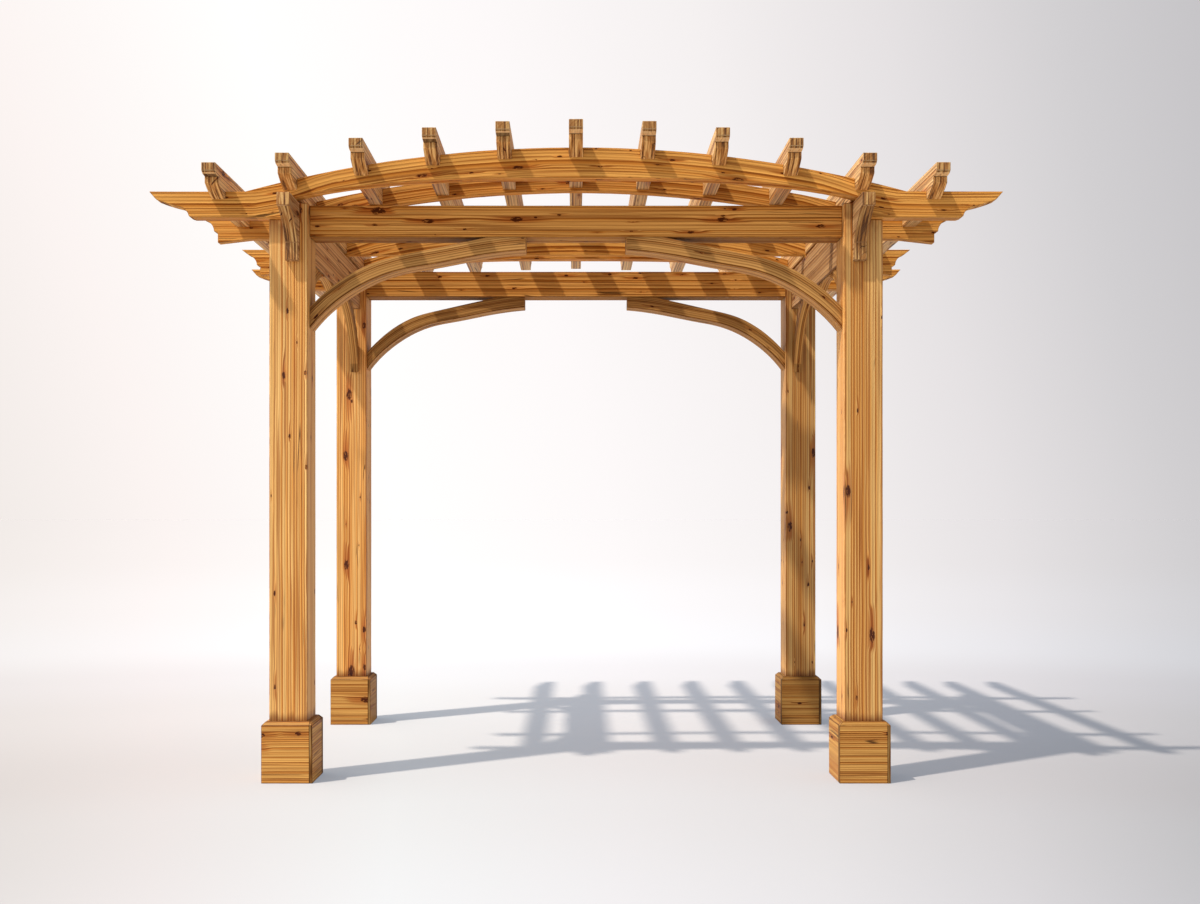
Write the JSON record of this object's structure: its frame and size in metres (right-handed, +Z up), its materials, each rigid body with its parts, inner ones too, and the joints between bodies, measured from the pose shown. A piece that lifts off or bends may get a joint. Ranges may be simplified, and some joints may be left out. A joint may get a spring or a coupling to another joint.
{
  "type": "wooden pergola",
  "caption": "Free-standing timber pergola with square posts, arched crown beams, curved knee braces and stepped rafter ends.",
  "frame": {"origin": "on the floor under the middle of the roof's outline", "axes": "+X to the right and +Z up when facing the front, which looks towards -Y"},
  "size_m": [3.334, 2.295, 2.552],
  "materials": {
    "post_timber": "oiled softwood, upright grain",
    "foot_board_timber": "oiled softwood boards, level grain",
    "beam_timber": "oiled softwood, lengthwise grain and knots",
    "brace_timber": "oiled softwood, grain along the curve",
    "rafter_timber": "oiled softwood, lengthwise grain"
  },
  "bodies": {
    "root": {"front_arch_beam": "beam_timber", "front_crown_beam": "beam_timber", "front_header": "beam_timber", "front_left_brace": "brace_timber", "front_left_foot_boards_long": "foot_board_timber", "front_left_foot_boards_short": "foot_board_timber", "front_left_post": "post_timber", "front_left_side_brace": "brace_timber", "front_right_brace": "brace_timber", "front_right_foot_boards_long": "foot_board_timber", "front_right_foot_boards_short": "foot_board_timber", "front_right_post": "post_timber", "front_right_side_brace": "brace_timber", "left_side_beam": "beam_timber", "rafter_01": "rafter_timber", "rafter_02": "rafter_timber", "rafter_03": "rafter_timber", "rafter_04": "rafter_timber", "rafter_05": "rafter_timber", "rafter_06": "rafter_timber", "rafter_07": "rafter_timber", "rafter_08": "rafter_timber", "rafter_09": "rafter_timber", "rafter_10": "rafter_timber", "rafter_11": "rafter_timber", "rear_arch_beam": "beam_timber", "rear_crown_beam": "beam_timber", "rear_header": "beam_timber", "rear_left_brace": "brace_timber", "rear_left_foot_boards_long": "foot_board_timber", "rear_left_foot_boards_short": "foot_board_timber", "rear_left_post": "post_timber", "rear_left_side_brace": "brace_timber", "rear_right_brace": "brace_timber", "rear_right_foot_boards_long": "foot_board_timber", "rear_right_foot_boards_short": "foot_board_timber", "rear_right_post": "post_timber", "rear_right_side_brace": "brace_timber", "right_side_beam": "beam_timber"}
  },
  "joints": []
}
